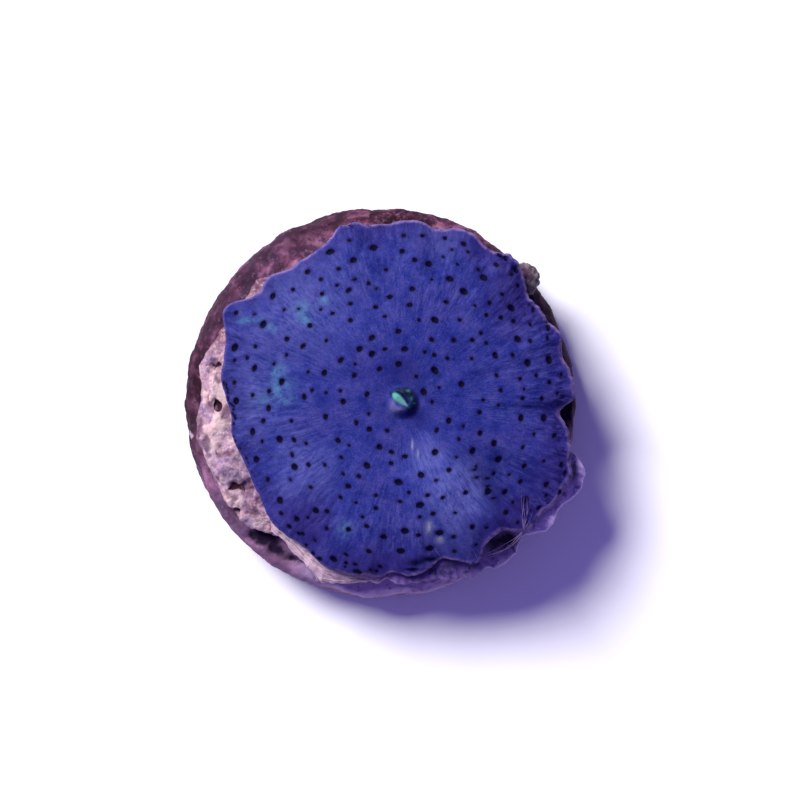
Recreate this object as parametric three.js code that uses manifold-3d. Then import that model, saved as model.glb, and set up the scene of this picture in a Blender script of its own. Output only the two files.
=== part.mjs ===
// Mushroom coral: a blue spotted polyp on a lump of reef rubble that stands on a round ceramic disc.
// Millimetres, +Z up. The origin is the centre of the disc's flat underside.
// Angles are in degrees, counter-clockwise seen from above, about the upright axis through the mouth.

import * as THREE from "three";
import { LoftGeometry } from "three/addons/geometries/LoftGeometry.js";
import { SimplexNoise } from "three/addons/math/SimplexNoise.js";
import { mergeVertices } from "three/addons/utils/BufferGeometryUtils.js";
import Module from "manifold-3d";

const wasm = await Module();
wasm.setup();
const { Manifold, Mesh: SolidMesh } = wasm;
const { degToRad, lerp, smoothstep, euclideanModulo, clamp } = THREE.MathUtils;

const DISC_FINISH = { color: "#5a3550", roughness: 0.85, metalness: 0 };
const ROCK_FINISH = { color: "#cba9c0", roughness: 0.9, metalness: 0 };
const POLYP_FINISH = { color: "#333a8c", roughness: 0.6, metalness: 0 };

const FULL_TURN = 360;
const UP = new THREE.Vector3(0, 0, 1);
const WELD = 1e-4;

// Frag disc; the algae crust makes its upper edge lumpy
const DISC_RADIUS = 16;
const DISC_THICKNESS = 5;
const DISC_BEVEL = 0.5;
const DISC_SEGMENTS = 72;
const CRUST_LUMP = { size: 3.4, depth: 0.3 };
const CRUST_SEED = 3;

// Mouth axis, off the disc's centre
const MOUTH_X = 1.8;
const MOUTH_Y = 0.1;

// Rubble rock: outline on the disc as [angle, radius]; the flat seat for the polyp's foot is round
const ROCK_OUTLINE = [
  [0, 11.2], [30, 12.2], [46, 13.2], [60, 12.6], [90, 12.2], [120, 12.6],
  [133, 14.2], [139, 15.5], [146, 15.0], [160, 16.0], [169, 16.5], [175, 16.2], [183, 16.6],
  [190, 16.9], [196, 16.7], [206, 16.2], [213, 16.3], [219, 16.2], [223, 15.4], [229, 15.0],
  [237, 15.1], [245, 16.0], [250, 15.5], [257, 14.8], [264, 13.9], [275, 12.8], [300, 11.8], [330, 11.2],
];
const SEAT_RADIUS = 7.6;
const SEAT_HEIGHT = 8;
// Rock flank as [share of the way from the seat's edge to the outline, height]
const ROCK_FLANK = [
  [1, DISC_THICKNESS], [1.01, 5.45], [0.97, 5.85], [0.9, 6.0], [0.87, 6.4], [0.79, 6.6], [0.7, 6.72],
  [0.56, 6.9], [0.3, 7.4], [0.05, 7.85], [0, SEAT_HEIGHT],
];
const ROCK_SEGMENTS = 72;
const ROCK_LUMP = { size: 2.4, depth: 0.34 };
const ROCK_GRIT = { size: 0.9, depth: 0.16 };
const ROCK_LIFT = 0.5;
const ROCK_ROUGH_FROM = 0.4;
const ROCK_SEED = 11;
// Knob that stands out of the rock's far right side
const ROCK_KNOB = [45.5, 13.7, 6.25, 2.7, 3.2, 1.9];
// Hollows in the rock; these and the knob are [angle, radius, height, size across, outward and upward]
const ROCK_HOLLOWS = [
  [181.5, 14.9, 6.75, 0.9, 0.65, 1.3],
  [169, 15.3, 6.5, 0.8, 0.7, 1.0],
  [208, 14.6, 6.75, 0.55, 1.8, 1.2],
  [214, 16.3, 5.8, 1.1, 0.8, 0.9],
  [231, 14.8, 5.6, 2.6, 1.5, 1.5],
];

// Polyp: outline of the oral disc's rim as [angle, radius]
const RIM_OUTLINE = [
  [0, 13.4], [4, 13.8], [12, 13.6], [17, 13.3], [22, 13.8], [32, 13.2], [40, 13.3], [47, 14.1],
  [53, 14.6], [60, 14.1], [69, 14.6], [79, 14.05], [86, 14.55], [98, 14.2], [108, 14.85], [118, 14.0],
  [129, 13.9], [137, 14.55], [143, 14.3], [148, 15.3], [152, 16.1], [157, 15.5], [163, 14.8],
  [172, 14.6], [180, 14.0], [184, 13.75], [192, 13.9], [201, 13.5], [213, 13.7], [223, 14.2],
  [236, 14.05], [245, 14.6], [256, 14.3], [264, 13.65], [275, 13.9], [285, 13.0], [293, 14.0],
  [297, 14.0], [301, 12.95], [307, 12.9], [313.5, 14.1], [322, 14.4], [328, 14.7], [336, 14.7],
  [343, 14.1], [351, 13.3], [356, 12.6],
];
// Height of the rim as [angle, height]; it hangs low over the rock on the left
const RIM_HEIGHT = [
  [0, 8.7], [20, 8.8], [50, 9.0], [100, 8.9], [130, 8.6], [152, 8.2], [175, 8.05], [200, 7.95],
  [225, 8.0], [250, 8.15], [262, 8.45], [275, 8.7], [295, 9.0], [306, 9.4], [313.5, 8.5], [335, 8.9],
  [356, 8.7],
];
// Lobes of the rim ride up and its notches dip, from a share of the radius outwards
const RUFFLE = { radius: 14, lift: 0.3, lowest: -0.4, highest: 0.3, start: 0.6 };
const CROWN_HEIGHT = 10.3;
const DOME_POWER = 2.6;
const CENTRE_THICKNESS = 1.5;
const RIM_THICKNESS = 0.5;
// Short column from the foot up to the neck as [radius, height]
const COLUMN = [[7, SEAT_HEIGHT], [6.3, 8.2], [6, 8.6]];
const POLYP_SEGMENTS = 96;
const TOP_RINGS = [0.985, 0.93, 0.86, 0.77, 0.66, 0.54, 0.4, 0.22];
const UNDER_RINGS = [0.6, 0.8, 0.98];

// Swelling in the oral disc, steep on its right side, the spur that carries it out to the pinch in the
// rim and the dip beside them; lengths are along and to each side of a spoke, and a higher roundness
// makes them flatter on top and steeper at the sides
const BULGE = { angle: 302, radius: 9.0, height: 1.9, along: 4.6, left: 3.7, right: 2.3 };
const SPUR = { angle: 311.5, radius: 14.2, height: 2.0, along: 3.8, left: 2.6, right: 1.9 };
const DIP = { angle: 323, radius: 10.8, height: -0.8, along: 3.0, left: 1.5, right: 2.2 };
const SWELLINGS = [BULGE, SPUR, DIP];
const SWELLING_ROUNDNESS = 1.4;

// Mouth cone with a slit in its tip
const MOUTH_CONE = [[2, -0.3], [1.6, 0.04], [1.25, 0.25], [1, 0.55], [0.7, 0.8], [0.3, 0.9]];
const MOUTH_SEGMENTS = 18;
const SLIT = { length: 1.3, width: 0.3, depth: 0.5, angle: -48 };

// Lower frill under the rim on the right: outline as [angle, radius]
const FRILL_OUTLINE = [
  [250, 9], [258, 13.6], [264, 14.2], [270, 14.8], [276, 14.5], [288, 15.0], [293, 15.2], [297, 14.9],
  [300, 15.55], [307, 15.1], [313, 14.4], [316, 15.4], [321, 15.6], [326, 15.3], [331, 15.85],
  [336, 16.0], [341, 15.45], [344, 14.95], [347, 13.8], [352, 9],
];
const FRILL_ROOT = 5;
const FRILL_SPAN = 10.4;
const FRILL_ROOT_HEIGHT = 8.55;
const FRILL_RIM_HEIGHT = 7.5;
const FRILL_WAVE = { turns: 17, height: 0.22 };
const FRILL_THICKNESS = 0.5;
const FRILL_TAPER = 0.4;
const FRILL_SEGMENTS = 40;
const FRILL_STEPS = [0, 0.45, 0.75, 0.95];

// Spots: shallow dark pits. The largest are placed as [right, up] from the mouth, the rest fill the gaps
const LARGE_SPOTS = [
  [-3.8, 2.1], [-3.4, 4.2], [-2.4, 5.1], [-2.4, 3.8], [-0.3, 3.0], [-0.3, 5.6], [0.2, 4.2], [0, 12],
  [1, 11.3], [2.1, 11], [0.8, 9], [0.6, 7.7], [6.5, 9.9], [8.7, 7.5], [9.2, 5], [4.9, 8.8], [4.9, 12.6],
  [3.8, 9.8], [2.6, 6.5], [4.1, 4.9], [2.6, 2.5], [7.4, 3.7], [10, 3.1], [-3.9, 11.3], [-2.3, 12.3],
  [-13.3, 7.1], [-11.1, 6.2], [-9.2, 5], [-4.7, 0], [-6.1, -1.2], [-8.6, -5.2], [-9.8, -3], [-5.1, -3.1],
  [-2.6, -2.2], [-1.8, -3.6], [-0.3, -6.4], [1.5, -5.8], [3.7, -5.4], [5.6, -3.9], [2.6, -4], [-2.8, -5.1],
  [1.4, -8.2], [-6.9, -8.7], [-9.8, -7.9], [0.2, -10.3], [-4.3, -10.2], [-2.8, 0.6], [1.7, 0.8],
  [4.7, 1.4], [3.7, -1.5], [6.2, -2.5], [-6.2, 2.3], [-4.9, 3.3], [-9.6, 1.6], [-11.8, 2.7],
];
const LARGE_SPOT_RADIUS = 0.3;
const SMALL_SPOT_RADIUS = 0.22;
const SPOT_SPREAD = [0.85, 1.15];
const SPOT_COUNT = 110;
const SPOT_BAND = { inner: 0.14, outer: 0.955 };
const SPOT_TRIES = 9;
const SPOT_SIDES = 5;
const SPOT_DEPTH_RATIO = 0.6;
const SPOT_SEED = 5;

// A repeatable stream of random numbers from 0 to 1.
function randomStream(seed) {
  let state = seed;
  return () => {
    state = (Math.imul(state, 1664525) + 1013904223) >>> 0;
    return state / 2 ** 32;
  };
}

// A smooth closed curve through [angle, value] pairs, without overshoot, read at any angle.
function around(pairs) {
  const count = pairs.length;
  const knot = (i) => {
    const turn = Math.floor(i / count);
    const [angle, value] = pairs[i - turn * count];
    return [angle + turn * FULL_TURN, value];
  };
  const grade = (i) => {
    const [a0, v0] = knot(i);
    const [a1, v1] = knot(i + 1);
    return (v1 - v0) / (a1 - a0);
  };
  const slope = (i) => {
    const product = grade(i - 1) * grade(i);
    return product > 0 ? (2 * product) / (grade(i - 1) + grade(i)) : 0;
  };
  return (angle) => {
    const turned = euclideanModulo(angle, FULL_TURN);
    const i = pairs.findLastIndex(([start]) => start <= turned);
    const [a0, v0] = knot(i);
    const [a1, v1] = knot(i + 1);
    const t = (turned - a0) / (a1 - a0);
    const ease = t * t * (3 - 2 * t);
    const lead = t * (1 - t) * (1 - t) * slope(i);
    const tail = t * t * (1 - t) * slope(i + 1);
    return lerp(v0, v1, ease) + (a1 - a0) * (lead - tail);
  };
}

// A point at an angle, radius and height about the mouth's axis.
function polar(angle, radius, height) {
  const turn = degToRad(angle);
  return new THREE.Vector3(MOUTH_X + radius * Math.cos(turn), MOUTH_Y + radius * Math.sin(turn), height);
}

// A closed ring of points from a function of the angle.
function ring(count, pointAt) {
  return Array.from({ length: count }, (_, i) => pointAt((FULL_TURN * i) / count));
}

function capped(sections) {
  return new LoftGeometry(sections, { capStart: true, capEnd: true });
}

// A closed solid from a geometry: seams welded and collapsed triangles left out.
function solid(geometry) {
  const bare = new THREE.BufferGeometry();
  bare.setAttribute("position", geometry.attributes.position);
  bare.setIndex(geometry.index);
  const welded = mergeVertices(bare, WELD);
  const corners = welded.index.array;
  const triVerts = [];
  for (let i = 0; i < corners.length; i += 3) {
    const [a, b, c] = corners.slice(i, i + 3);
    if (a !== b && b !== c && c !== a) {
      triVerts.push(a, b, c);
    }
  }
  const vertProperties = new Float32Array(welded.attributes.position.array);
  return new Manifold(new SolidMesh({ numProp: 3, vertProperties, triVerts: new Uint32Array(triVerts) }));
}

function named(name, body, finish) {
  const { vertProperties, triVerts } = body.getMesh();
  const geometry = new THREE.BufferGeometry();
  geometry.setAttribute("position", new THREE.BufferAttribute(new Float32Array(vertProperties), 3));
  geometry.setIndex(new THREE.BufferAttribute(new Uint32Array(triVerts), 1));
  geometry.computeVertexNormals();
  const mesh = new THREE.Mesh(geometry, new THREE.MeshStandardMaterial(finish));
  mesh.name = name;
  return mesh;
}

// Lumps of a given size and depth at a point.
function lumps(noise, point, { size, depth }) {
  const { x, y, z } = point.clone().divideScalar(size);
  return depth * noise.noise3d(x, y, z);
}

function fragDisc() {
  const noise = new SimplexNoise({ random: randomStream(CRUST_SEED) });
  const profile = [
    [DISC_RADIUS - DISC_BEVEL, 0],
    [DISC_RADIUS, DISC_BEVEL],
    [DISC_RADIUS, DISC_THICKNESS / 2],
    [DISC_RADIUS, DISC_THICKNESS - DISC_BEVEL],
    [DISC_RADIUS - DISC_BEVEL, DISC_THICKNESS],
  ];
  const sections = profile.map(([radius, height]) => {
    const crusted = height > DISC_THICKNESS / 2;
    return ring(DISC_SEGMENTS, (angle) => {
      const point = new THREE.Vector3(radius, 0, height).applyAxisAngle(UP, degToRad(angle));
      const crust = crusted ? lumps(noise, point, CRUST_LUMP) - CRUST_LUMP.depth / 2 : 0;
      return point.multiply(new THREE.Vector3(1 + crust / radius, 1 + crust / radius, 1));
    });
  });
  return solid(capped(sections));
}

// An egg-shaped solid for a knob, or for the hollow that it leaves.
function pebble([angle, radius, height, across, outward, upward]) {
  const egg = new THREE.IcosahedronGeometry(0.5, 1);
  egg.scale(outward, across, upward);
  egg.rotateZ(degToRad(angle));
  const { x, y, z } = polar(angle, radius, height);
  return solid(egg.translate(x, y, z));
}

function rubbleRock() {
  const outline = around(ROCK_OUTLINE);
  const noise = new SimplexNoise({ random: randomStream(ROCK_SEED) });
  const roughness = (point) => lumps(noise, point, ROCK_LUMP) + lumps(noise, point, ROCK_GRIT);
  const sections = ROCK_FLANK.map(([share, height]) =>
    ring(ROCK_SEGMENTS, (angle) => {
      const radius = lerp(SEAT_RADIUS, outline(angle), share);
      const rough = smoothstep(share, 0, ROCK_ROUGH_FROM) * roughness(polar(angle, radius, height));
      const lift = height > DISC_THICKNESS ? ROCK_LIFT * rough : 0;
      return polar(angle, radius + rough, height + lift);
    }),
  );
  return solid(capped(sections)).add(pebble(ROCK_KNOB)).subtract(Manifold.union(ROCK_HOLLOWS.map(pebble)));
}

const rim = around(RIM_OUTLINE);
const rimHeight = around(RIM_HEIGHT);

// Height of one swelling or dip of the oral disc at a point right of and above the mouth.
function swelling(right, up, place) {
  const spoke = degToRad(place.angle);
  const along = right * Math.cos(spoke) + up * Math.sin(spoke) - place.radius;
  const across = up * Math.cos(spoke) - right * Math.sin(spoke);
  const width = across > 0 ? place.right : place.left;
  const far = (along / place.along) ** 2 + (across / width) ** 2;
  return place.height * Math.exp(-(far ** SWELLING_ROUNDNESS));
}

// Height of the oral disc's upper face; share runs from 0 at the mouth to 1 at the rim.
function topHeight(angle, share) {
  const radius = share * rim(angle);
  const turn = degToRad(angle);
  const dome = lerp(CROWN_HEIGHT, rimHeight(angle), share ** DOME_POWER);
  const lift = clamp(RUFFLE.lift * (rim(angle) - RUFFLE.radius), RUFFLE.lowest, RUFFLE.highest);
  const ruffle = lift * smoothstep(share, RUFFLE.start, 1);
  const right = radius * Math.cos(turn);
  const up = radius * Math.sin(turn);
  return SWELLINGS.reduce((height, place) => height + swelling(right, up, place), dome + ruffle);
}

function underHeight(angle, share) {
  const thickness = lerp(RIM_THICKNESS, CENTRE_THICKNESS, 1 - share);
  return topHeight(angle, share) - thickness;
}

function oralDiscAndColumn() {
  const column = COLUMN.map(([radius, height]) =>
    ring(POLYP_SEGMENTS, (angle) => polar(angle, radius, height)),
  );
  const under = UNDER_RINGS.map((share) =>
    ring(POLYP_SEGMENTS, (angle) => polar(angle, share * rim(angle), underHeight(angle, share))),
  );
  const edge = ring(POLYP_SEGMENTS, (angle) => {
    const middle = (topHeight(angle, 1) + underHeight(angle, 1)) / 2;
    return polar(angle, rim(angle), middle);
  });
  const top = TOP_RINGS.map((share) =>
    ring(POLYP_SEGMENTS, (angle) => polar(angle, share * rim(angle), topHeight(angle, share))),
  );
  return solid(capped([...column, ...under, edge, ...top]));
}

function mouthCone() {
  const base = topHeight(0, 0);
  const profile = MOUTH_CONE.map(([radius, height]) => new THREE.Vector2(radius, base + height));
  const [widest] = profile;
  profile.unshift(new THREE.Vector2(0, widest.y));
  profile.push(new THREE.Vector2(0, profile.at(-1).y));
  const cone = new THREE.LatheGeometry(profile, MOUTH_SEGMENTS).rotateX(Math.PI / 2);
  return solid(cone.translate(MOUTH_X, MOUTH_Y, 0));
}

function mouthSlit() {
  const tip = topHeight(0, 0) + MOUTH_CONE.at(-1)[1];
  const cut = new THREE.BoxGeometry(SLIT.length, SLIT.width, 2 * SLIT.depth);
  cut.rotateZ(degToRad(SLIT.angle));
  return solid(cut.translate(MOUTH_X, MOUTH_Y, tip));
}

// The frill is a sheet: each section is a closed loop out along its top and back along its underside.
function lowerFrill() {
  const outline = around(FRILL_OUTLINE);
  const first = FRILL_OUTLINE[0][0];
  const last = FRILL_OUTLINE.at(-1)[0];
  const sections = [];
  for (let i = 0; i <= FRILL_SEGMENTS; i += 1) {
    const angle = lerp(first, last, i / FRILL_SEGMENTS);
    const reach = outline(angle);
    const wave = FRILL_WAVE.height * Math.sin(degToRad(angle * FRILL_WAVE.turns));
    const along = (share, side) => {
      const radius = lerp(FRILL_ROOT, reach, share);
      const fall = ((radius - FRILL_ROOT) / FRILL_SPAN) ** 2;
      const middle = lerp(FRILL_ROOT_HEIGHT, FRILL_RIM_HEIGHT + wave, fall);
      const half = (side * FRILL_THICKNESS * (1 - FRILL_TAPER * share)) / 2;
      return polar(angle, radius, middle + half);
    };
    const upper = FRILL_STEPS.map((share) => along(share, 1));
    const lower = FRILL_STEPS.map((share) => along(share, -1)).reverse();
    sections.push([...upper, along(1, 0), ...lower]);
  }
  return solid(capped(sections));
}

// Places of the spots as [right, up, radius] from the mouth.
function spotPlaces() {
  const random = randomStream(SPOT_SEED);
  const size = (radius) => radius * lerp(...SPOT_SPREAD, random());
  const places = LARGE_SPOTS.map(([right, up]) => [right, up, size(LARGE_SPOT_RADIUS)]);
  const gap = ([right, up]) => Math.min(...places.map(([x, y]) => Math.hypot(x - right, y - up)));
  const candidate = () => {
    const angle = FULL_TURN * random();
    const share = Math.sqrt(lerp(SPOT_BAND.inner ** 2, SPOT_BAND.outer ** 2, random()));
    const turn = degToRad(angle);
    return [share * rim(angle) * Math.cos(turn), share * rim(angle) * Math.sin(turn)];
  };
  while (places.length < SPOT_COUNT) {
    const choices = Array.from({ length: SPOT_TRIES }, candidate);
    const best = choices.reduce((one, other) => (gap(other) > gap(one) ? other : one));
    places.push([...best, size(SMALL_SPOT_RADIUS)]);
  }
  return places;
}

function spotPits() {
  const pits = spotPlaces().map(([right, up, radius]) => {
    const angle = THREE.MathUtils.radToDeg(Math.atan2(up, right));
    const height = topHeight(angle, Math.hypot(right, up) / rim(angle));
    const depth = SPOT_DEPTH_RATIO * radius;
    const pit = new THREE.ConeGeometry(2 * radius, 2 * depth, SPOT_SIDES).rotateX(-Math.PI / 2);
    return solid(pit.translate(MOUTH_X + right, MOUTH_Y + up, height));
  });
  return Manifold.union(pits);
}

function mushroomPolyp() {
  return oralDiscAndColumn().subtract(spotPits()).add(mouthCone()).subtract(mouthSlit()).add(lowerFrill());
}

const coral = new THREE.Group();
coral.name = "mushroom_coral";
coral.add(
  named("frag_disc", fragDisc(), DISC_FINISH),
  named("rubble_rock", rubbleRock(), ROCK_FINISH),
  named("mushroom_polyp", mushroomPolyp(), POLYP_FINISH),
);

export default coral;
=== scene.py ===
"""Mushroom coral: dense meshes and node materials for the polyp, its rubble rock and the ceramic disc.

Shapes are worked out in millimetres and turned into metres when a mesh is made. Places on the polyp are
given as right of and up from the mouth seen from above, angles in degrees counter-clockwise about it.
"""

import functools
import math

import bmesh
import bpy
import numpy as np
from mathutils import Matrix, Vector, noise
from mathutils.bvhtree import BVHTree


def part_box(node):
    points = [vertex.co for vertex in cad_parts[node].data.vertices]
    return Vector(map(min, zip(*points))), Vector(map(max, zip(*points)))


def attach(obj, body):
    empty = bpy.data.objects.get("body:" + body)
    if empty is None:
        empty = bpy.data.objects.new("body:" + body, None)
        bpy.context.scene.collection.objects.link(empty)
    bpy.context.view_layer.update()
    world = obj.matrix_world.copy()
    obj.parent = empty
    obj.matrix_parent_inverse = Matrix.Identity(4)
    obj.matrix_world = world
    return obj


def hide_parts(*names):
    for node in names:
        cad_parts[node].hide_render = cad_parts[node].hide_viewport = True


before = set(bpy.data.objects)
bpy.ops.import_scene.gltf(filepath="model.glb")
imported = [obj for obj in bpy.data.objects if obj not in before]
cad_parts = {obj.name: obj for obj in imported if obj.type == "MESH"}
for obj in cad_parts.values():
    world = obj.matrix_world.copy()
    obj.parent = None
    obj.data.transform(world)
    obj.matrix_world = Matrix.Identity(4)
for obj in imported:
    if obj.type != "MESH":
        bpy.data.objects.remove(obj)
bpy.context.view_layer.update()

MM = 0.001
SEED = 23
BODY = "root"

# Camera: straight above, its axis a little off the disc's centre
AIM = (1.62, 0.24)
CAMERA_HEIGHT = 255
VIEW_WIDTH = 65
VIEW_LEVEL = 5
SENSOR = 36
CLIP_START = 10

# Lights
SUN_FROM = (-0.7, 0.71, 0.94)
SUN_STRENGTH = 5.4
SUN_COLOUR = (1, 0.985, 0.97)
SUN_SPREAD = 28
FILL_COLOUR = (0.14, 0.112, 0.4)
# What a white face turned to both lights shows; colours read off the object are divided by it
LIT_WHITE = (1.36, 1.31, 1.58)
FLOOR_SIZE = 3000
FLOOR_GAP = 0.02
FLOOR_SHADE = 0.92

# Polyp mesh: spokes about the mouth, and rings from the mouth out over the rim to the foot
MOUTH = np.array((1.8, 0.1))
AROUND = 700
# Shares of the rim's radius where the top's ring spacing changes, and rings up to each
TOP_BANDS = ((0.12, 24), (0.94, 64), (1, 14))
UNDER_SHARES = (0.985, 0.94, 0.84, 0.7, 0.58)
FRILL_SHARES = (0, 0.35, 0.62, 0.75, 0.82, 0.87, 0.91, 0.945, 0.975, 0.993)
RIM_THICKNESS = 0.34
CENTRE_THICKNESS = 1.5
# Rings that round the rim as (mm out, share of its thickness down, level), and its last level
RIM_ROUND = ((0.05, 0.3, 1.01), (0.02, 0.65, 1.02))
RIM_LEVEL = 1.04
# Shares of the radius over which the rim turns down, and the power by which its scallops set in
RIM_TURN = (0.98, 1)
SCALLOP_POWER = 12
COLUMN_RADIUS = 6.2
FOOT_RADIUS = 7.0
FOOT_RISE = 0.2
NECK_RISE = 0.75
# Noise round a full turn as (radius, height and size of features in mm, octaves)
SCALLOP_NOISE = (14, 3.7, 1.1, 4)
SKIRT_NOISE = (15, 5.3, 0.7, 4)
FLUTTER_NOISE = (15, 9.1, 1.3, 3)
# How far the rim's small scallops reach, as (angle, mm)
CRENULATION = (
    (0, 0.24), (60, 0.2), (110, 0.17), (145, 0.14), (165, 0.07), (230, 0.1), (290, 0.16), (330, 0.22),
)
# Height of the wrinkles along the spokes, as (angle, mm)
WRINKLE_HEIGHT = ((0, 0.1), (60, 0.07), (120, 0.04), (170, 0.08), (240, 0.06), (290, 0.05), (330, 0.1))
WRINKLE_COUNT = 30
WRINKLE_LENGTH = 1.8
WRINKLE_SWAY = 0.04
RIPPLE = 0.1
PUCKER = 0.035
# Film of tissue that runs on from the frill, over the rock: width as (angle, mm) and height of its edge
FILM_WIDTH = ((0, 0), (212, 0), (222, 0.5), (236, 0.95), (248, 1.25), (256, 0.75), (266, 0.5), (276, 0))
FILM_HEIGHT = 6.65
# Frill: half its thickness at the column, and how much thinner it is at the edge
FRILL_THICKNESS = 0.24
FRILL_TAPER = 0.16
# How far its edge is ragged and flutters
FRILL_RAG = 0.2
FLUTTER = 0.2
# Widths from which it shows and hangs at its own height, and its form where it doesn't
FRILL_SHOWS = (0.05, 0.35)
FRILL_LOW = 0.15
FRILL_HANG = 0.6
FRILL_LEAST = 0.96
FRILL_BLUR = 15
# Reading of the solid from above
SOLID_SPOKES = 96
SOLID_RINGS = 44
MOUTH_REACH = 2.4
RIM_SEARCH = (11.5, 17.5)
RIM_STEP = 0.02
RIM_DROP = 0.06
RIM_FALL = 0.15
SKY = 40
READ_TO = 0.985
PIT_BLUR = 2
LEVEL_RING = 6

# Spots: the solid's pits, then smaller ones in the gaps
SPOT_COUNT = 236
SPOT_TRIES = 7
SPOT_RADIUS = (0.125, 0.195)
SPOT_BAND = (0.16, 0.95)
SPOT_DEPTH = 0.09
SPOT_STRETCH = (1.1, 1.6)
SPOT_EDGE = (-0.16, 0.06)
SPOT_TURN = 0.25
SPOT_FAR = 9.0
PIT_RISE = 0.06
PIT_REACH = 0.8
PIT_SHARE = 0.84
PIT_RADIUS = (0.15, 0.255)
PIT_GAP = 0.6
PIT_CLEAR = 0.7 * MOUTH_REACH
# Flattened spots down the bulge's steep side as (right, up)
FLANK_SPOTS = ((5.7, -5.4), (5.9, -6), (6.8, -6.1), (6.8, -6.7), (6.9, -7.2), (7.25, -7.65))
FLANK_RADIUS = 0.1
FLANK_STRETCH = 2.4
FLANK_HEADING = -75
# Beads along the margin as (first angle, last angle, count, gap to the rim, radius)
MARGIN_BEADS = (
    (173, 186, 30, 0.24, 0.085), (186, 206, 12, 0.18, 0.085), (95, 108, 14, 0.15, 0.055),
    (222, 262, 14, 0.6, 0.13), (20, 60, 7, 0.5, 0.14), (300, 345, 8, 0.7, 0.14),
)
BEAD_GAPS = (0.2, 1.4)
BEAD_SIZES = (0.5, 1.3)

# Mouth: a low cone with a leaf-shaped green lip, a slit beside it, a dark lip and a pale mound
MOUTH_HEIGHT = 0.72
MOUTH_RADIUS = (0.55, 1.45)
MOUTH_EDGE = (1.3, 1.9)
LIP_CENTRE = (-0.13, 0.12)
LIP_ANGLE = -41
LIP_LENGTH = 0.82
LIP_WIDTH = 0.29
LIP_TAPER = 0.35
LIP_SOFT = (-0.1, 0.13)
LIP_END = 1.1
SLIT_GAP = 0.08
SLIT_WIDTH = 0.08
SLIT_END = (0.65, 0.95)
LIP_RISE = 0.2
MOUND_RISE = 0.22
DARK_RISE = 0.12
SLIT_DEPTH = 0.3
# Parts of the mouth as patches of (right, up, width, height)
MOUND = ((-0.75, -0.3, 0.32, 0.5), (-0.35, -0.65, 0.5, 0.3))
DARK_LIP = (
    (0.2, 0.88, 0.4, 0.22), (0.6, 0.45, 0.3, 0.4), (0.95, -0.1, 0.25, 0.4), (-0.35, 1, 0.4, 0.14),
    (-0.9, 0.6, 0.12, 0.25), (0.65, -0.6, 0.3, 0.3), (0.1, 0.7, 0.5, 0.25),
)
LIP_SPECKS = ((0.48, 0.88, 0.16, 0.1), (0.72, 0.26, 0.1, 0.16), (0.95, -0.12, 0.1, 0.07))

# Colour patches on the oral disc as (right, up, width, height)
TOP_PATCHES = {
    "teal": (
        (-10, 2.6, 0.6, 0.7), (-9.7, 1.2, 0.8, 0.6), (-10.2, 0.2, 1.3, 0.5), (-10.4, 5.9, 0.35, 0.4),
        (-8, 7.3, 0.6, 0.6), (-6.2, 8.1, 0.35, 0.3), (-7.6, 6.5, 0.4, 0.35), (-4.6, -10.2, 0.55, 0.6),
        (-12.2, 6.5, 1, 0.25),
    ),
    "cream": (
        (2.1, -10, 0.28, 0.5), (3, -11, 0.32, 0.35), (0.8, -3.4, 0.08, 0.4),
        (1.25, -4.1, 0.08, 0.35),
    ),
    # Pale lilac on the bulge's crest: partly its own colour, partly painted light on its lit side
    "pale": ((4.2, -7.8, 2.4, 3.2), (4.8, -6.6, 1.5, 1.5), (2, -4.4, 1.2, 1.4)),
    # Lilac tint, lightest towards the upper left: partly its own colour, partly painted light on the side
    # the light comes from
    "haze": (
        (-8.2, 8, 4, 4), (-12.2, 0.5, 2, 3.5), (3, 13.2, 2.2, 1.4), (-8, -5.2, 2.4, 2.4),
    ),
    # Crumpled folds, sunk into the top and painted dark as their shade
    "crumpled": (
        (1.2, -13, 0.7, 0.28), (2.3, -12.65, 0.8, 0.22), (0.9, -13.5, 0.6, 0.15),
        (8.2, 11.5, 0.32, 0.2), (9.05, 10.6, 0.3, 0.26), (10.55, 7.35, 0.16, 0.3),
        (12.9, 0.4, 0.26, 0.16),
    ),
    # Painted shade under the arch's edge, on the bulge's flank, between the strands, along the
    # turned-down margin and in the right notch, and the mouth's painted cast shadow; the patch just above
    # the mouth is darker tissue
    "shade": (
        (7.2, -10.1, 1.3, 0.6), (8.9, -9.8, 0.8, 0.5), (11.3, -6.2, 1.6, 1.4), (0.2, 2.6, 2.2, 1.6),
        (9.95, -7.6, 0.35, 1.6), (10.6, -7.8, 0.3, 1.5), (9.2, -8.3, 0.3, 1.2), (-1, -13.4, 4, 0.9),
        (-7.6, -11, 2, 0.9), (12.9, -0.4, 0.9, 0.6), (7.4, -10.4, 1.3, 0.6), (7.5, -7.9, 0.7, 1.3),
        (1.45, -1.45, 0.7, 0.85), (0.75, -0.95, 0.4, 0.4),
    ),
}
CRUMPLE_DEPTH = 0.35
VIOLET_PATCHES = (
    (9.5, 9.3, 3, 3), (12.6, -5, 1.8, 4.5), (-7.6, -9.2, 2, 1.6), (-2, -13, 4, 1.4),
    (9, -9, 1.6, 1.4),
)
# Hollows over the frill, under the arch in the rim and along the rim, painted black as shade
SHADOWED_HOLLOWS = (
    (7.2, -11.3, 0.95, 0.9), (8.6, -11, 0.9, 0.75), (13.75, -5.6, 0.36, 0.95), (13.9, -4, 0.2, 0.3),
    (10.6, -9.5, 0.5, 0.15), (14, 0.2, 0.6, 0.8),
)
# Dark blotches on the frill below the arch
BLOTCHES = (
    (3.9, -13.2, 0.9, 0.3), (5.9, -13.1, 0.4, 0.2), (7.2, -12.5, 0.3, 0.25), (8.3, -12.2, 0.35, 0.2),
)
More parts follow.
